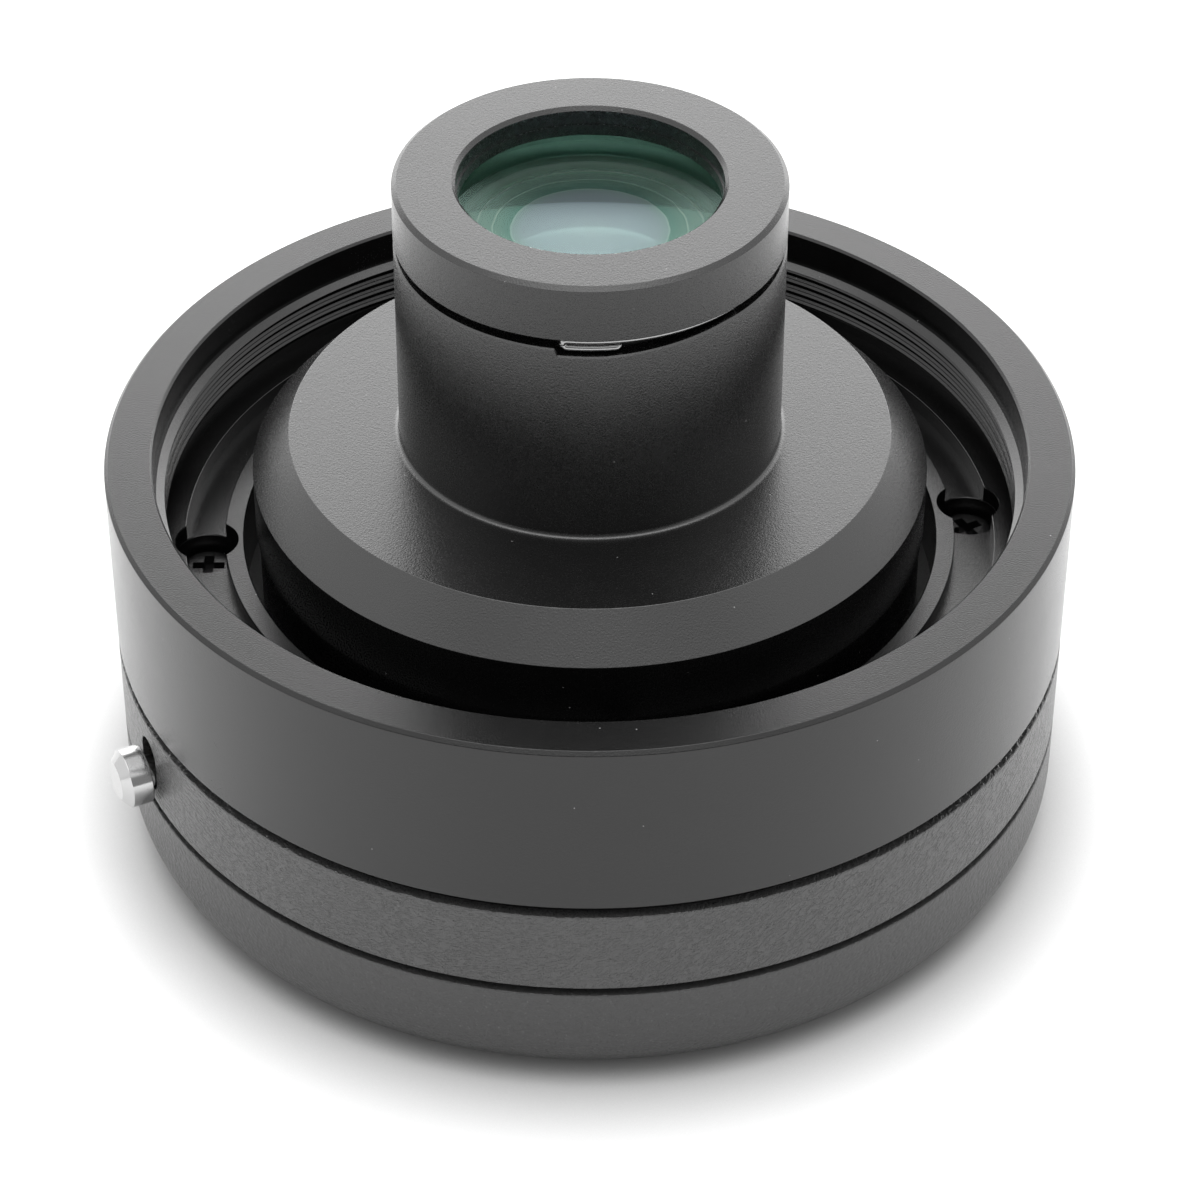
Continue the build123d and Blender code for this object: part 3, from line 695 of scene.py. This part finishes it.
# Base ring
base_outline = [
    (BASE_BORE_R, 0.3, 0.0),
    (BASE_BORE_R + 0.3, 0.0, 0.05),
    (BASE_FOOT_R, 0.0, 0.0),
]
for k in range(1, BASE_ROUND_STEPS):
    a = -math.pi / 2 + math.pi / 2 * k / BASE_ROUND_STEPS
    base_outline.append((
        BASE_FOOT_R + BASE_ROUND_R * math.cos(a),
        BASE_ROUND_R + BASE_ROUND_R * math.sin(a),
        0.0,
    ))
base_outline += [
    (WALL_R, BASE_ROUND_R, 0.0),
    (WALL_R, BASE_TOP, 0.1),
    (BASE_INNER_R, BASE_TOP, 0.0),
    (BASE_INNER_R, 5.0, 0.0),
    (BASE_BORE_R, 5.0, 0.0),
]
base = turned("base_shell", rounded(base_outline))
add(base, base_black, "converter", "base_ring", slot="base_black")


# Body wall at the bottom of the grooves
body = turned("body_shell", [
    (BODY_INNER_R, 5.1),
    (30.4, 5.1),
    (30.4, BASE_TOP),
    (BODY_R, BASE_TOP),
    (BODY_R, BODY_TOP),
    (BODY_INNER_R, BODY_TOP),
])
pocket_outline = [(-2.5, 9.0), (2.5, 9.0), (2.5, 14.35), (-2.5, 14.35)]
cut(body, lever_prism("pocket", pocket_outline, 21.9, 34.0))
add(body, inner_black, "converter", "main_body", slot="body_black")


# Lever pin
lever = shaft("lever_pin", rounded([
    (0.0001, 27.2, 0.0),
    (1.1, 27.2, 0.0),
    (1.1, 33.4, 0.0),
    (2.05, 33.4, 0.06),
    (2.05, 34.85, 0.04),
    (1.33, 35.45, 0.05),
    (0.0001, 35.45, 0.0),
]), (0, 0, LEVER_Z), polar(1, LEVER_ANGLE), 96)
add(lever, lever_steel, "lock", "lock_lever", slot="lever_steel")


# Wire spring under the cap: a hairpin with both ends bent inwards
def hook(angle, z):
    """Points of a short bend from the path of the wire into the spigot, at its free end."""
    points = []
    for k in range(1, 7):
        a = math.pi / 2 * k / 6
        run = WIRE_HOOK_R * math.sin(a)
        points.append(polar(WIRE_PATH_R - WIRE_HOOK_R * (1 - math.cos(a)),
                            angle + math.degrees(run / WIRE_PATH_R), z))
    points.append(polar(WIRE_END_R, angle + math.degrees(WIRE_HOOK_R / WIRE_PATH_R), z))
    return points


def wire_points():
    """Middle line of the hairpin, from its upper end to its lower end."""
    points = list(reversed(hook(WIRE_HIGH_END, WIRE_HIGH)))
    for k in range(61):
        angle = WIRE_HIGH_END + (WIRE_BEND - WIRE_HIGH_END) * k / 60
        points.append(polar(WIRE_PATH_R, angle, WIRE_HIGH))
    reach = (WIRE_HIGH - WIRE_LOW) / 2
    for k in range(1, 12):
        a = math.pi * k / 12
        angle = WIRE_BEND - math.degrees(reach * math.sin(a) / WIRE_PATH_R)
        middle = (WIRE_HIGH + WIRE_LOW) / 2
        points.append(polar(WIRE_PATH_R, angle, middle + reach * math.cos(a)))
    for k in range(17):
        angle = WIRE_BEND + (WIRE_LOW_END - WIRE_BEND) * k / 16
        points.append(polar(WIRE_PATH_R, angle, WIRE_LOW))
    return points + hook(WIRE_LOW_END, WIRE_LOW)


wire = tube("nose_wire", wire_points(), WIRE_R)
add(wire, wire_steel, "converter", "nose_spring_wire", slot="spring_steel")


# Lenses
def lens_outline(rim_r, top, bottom, steps=40):
    """Half outline of a lens from two faces, each (edge radius, edge z, middle z)."""
    def face(edge_r, edge_z, middle_z):
        points = []
        for k in range(steps + 1):
            r = edge_r * k / steps
            points.append((max(r, 1e-4), middle_z + (edge_z - middle_z) * (r / edge_r) ** 2))
        return points

    return face(*top) + [(rim_r, top[1]), (rim_r, bottom[1])] + face(*bottom)[::-1]


def lens(name, material, node, rim_r, top, bottom, slot):
    """Lens that stands for its node."""
    piece = turned(name, lens_outline(rim_r, top, bottom), 192, closed=False)
    return add(piece, material, "converter", node, slot=slot)


lens("front_glass_lens", front_glass, "front_lens", LENS_R,
     (8.95, 47.7, 46.5), (LENS_R - 0.01, 43.62, 44.94), "front_glass")
lens("front_glass_back", front_glass_inner, "front_lens_inner", LENS_R,
     (LENS_R - 0.01, 43.6, 44.92), (BORE_R, SHELF_TOP, 42.95), "front_glass_inner")
lens("rear_glass_lens", rear_glass, "rear_lens", REAR_LENS_R,
     (12.1, REAR_SHOULDER, 21.63), (REAR_LENS_R - 0.01, 17.83, 15.83), "rear_glass")
lens("rear_glass_back", rear_glass, "rear_lens_inner", REAR_LENS_R,
     (REAR_LENS_R - 0.01, 17.81, 15.81), (12.5, 15.41, 14.76), "rear_glass")


# Floor and light
def fill(node, low, high, to_low, to_high):
    """Set the two ranges of a Map Range node."""
    node.inputs["From Min"].default_value = low
    node.inputs["From Max"].default_value = high
    node.inputs["To Min"].default_value = to_low
    node.inputs["To Max"].default_value = to_high


def floor_material():
    """Pale floor that keeps the shadow, has a painted contact shadow from ambient occlusion in its
    colour, and reads as white to the camera.
    """
    material = bpy.data.materials.new("pale_floor")
    material.use_nodes = True
    tree = material.node_tree
    shader = tree.nodes["Principled BSDF"]
    # Painted contact shadow: ambient occlusion darkens the floor colour near the object
    near = tree.nodes.new("ShaderNodeAmbientOcclusion")
    near.samples = 8
    near.inputs["Distance"].default_value = 0.008
    shade = tree.nodes.new("ShaderNodeMapRange")
    fill(shade, 0.25, 0.95, 0.30, 0.85)
    tree.links.new(near.outputs["AO"], shade.inputs["Value"])
    tree.links.new(shade.outputs["Result"], shader.inputs["Base Color"])
    shader.inputs["Roughness"].default_value = 0.9
    shader.inputs["Specular IOR Level"].default_value = 0.0
    path = tree.nodes.new("ShaderNodeLightPath")
    lift = tree.nodes.new("ShaderNodeMath")
    lift.operation = "MULTIPLY"
    lift.inputs[1].default_value = 0.02
    tree.links.new(path.outputs["Is Camera Ray"], lift.inputs[0])
    tree.links.new(lift.outputs[0], shader.inputs["Emission Strength"])
    shader.inputs["Emission Color"].default_value = (1, 1, 1, 1)
    return material


bpy.ops.mesh.primitive_plane_add(size=6)
floor = bpy.context.object
floor.name = "floor"
floor.data.materials.append(floor_material())


def studio_world():
    """Soft surroundings: bright and low behind, dim and low in front, bright overhead."""
    world = bpy.data.worlds.new("studio")
    bpy.context.scene.world = world
    world.use_nodes = True
    tree = world.node_tree
    tree.nodes.clear()
    out = tree.nodes.new("ShaderNodeOutputWorld")
    background = tree.nodes.new("ShaderNodeBackground")
    place = tree.nodes.new("ShaderNodeTexCoord")
    parts = tree.nodes.new("ShaderNodeSeparateXYZ")
    tree.links.new(place.outputs["Generated"], parts.inputs[0])

    def ramp(value, low, high):
        node = tree.nodes.new("ShaderNodeMapRange")
        node.interpolation_type = "SMOOTHSTEP"
        fill(node, low, high, 0.0, 1.0)
        tree.links.new(value, node.inputs["Value"])
        return node.outputs["Result"]

    def maths(operation, a, b):
        node = tree.nodes.new("ShaderNodeMath")
        node.operation = operation
        for socket, value in ((0, a), (1, b)):
            if isinstance(value, (int, float)):
                node.inputs[socket].default_value = value
            else:
                tree.links.new(value, node.inputs[socket])
        return node.outputs[0]

    height = parts.outputs["Z"]
    flat = maths("SQRT", maths("SUBTRACT", 1.0, maths("MULTIPLY", height, height)), 0.0)
    depth = maths("DIVIDE", parts.outputs["Y"], maths("MAXIMUM", flat, 0.001))
    back = ramp(depth, 0.62, 0.94)
    front = ramp(depth, -0.3, -0.85)

    def around(sides, behind, ahead):
        value = maths("ADD", sides, maths("MULTIPLY", back, behind - sides))
        return maths("ADD", value, maths("MULTIPLY", front, ahead - sides))

    def between(low, high, share):
        rise = maths("SUBTRACT", high, low)
        return maths("ADD", low, maths("MULTIPLY", rise, share))

    upper = between(around(*MIDDLE_LIGHT), ZENITH, ramp(height, 0.80, 0.95))
    strength = between(around(*LOW_LIGHT), upper, ramp(height, 0.50, 0.70))
    path = tree.nodes.new("ShaderNodeLightPath")
    mix = tree.nodes.new("ShaderNodeMix")
    tree.links.new(path.outputs["Is Camera Ray"], mix.inputs[0])
    tree.links.new(strength, mix.inputs[2])
    mix.inputs[3].default_value = 1.0
    tree.links.new(mix.outputs[0], background.inputs["Strength"])
    background.inputs["Color"].default_value = (1, 1, 1, 1)
    tree.links.new(background.outputs[0], out.inputs["Surface"])


studio_world()


# Camera
def camera():
    """Camera at the photograph's place."""
    data = bpy.data.cameras.new("camera")
    data.sensor_width = 36.0
    data.lens = CAMERA_LENS
    eye = bpy.data.objects.new("camera", data)
    bpy.context.collection.objects.link(eye)
    tilt = math.radians(CAMERA_TILT)
    roll = math.radians(CAMERA_ROLL)
    right = Vector((1, 0, 0))
    up = Vector((0, math.sin(tilt), math.cos(tilt)))
    back = Vector((0, -math.cos(tilt), math.sin(tilt)))
    right, up = (
        right * math.cos(roll) + up * math.sin(roll),
        up * math.cos(roll) - right * math.sin(roll),
    )
    turn = Matrix((right, up, back)).transposed()
    eye.matrix_world = Matrix.Translation(Vector(CAMERA_PLACE) * MM) @ turn.to_4x4()
    data.clip_start = 0.01
    data.clip_end = 20.0
    bpy.context.scene.camera = eye


camera()
bpy.context.scene.view_settings.view_transform = "Standard"
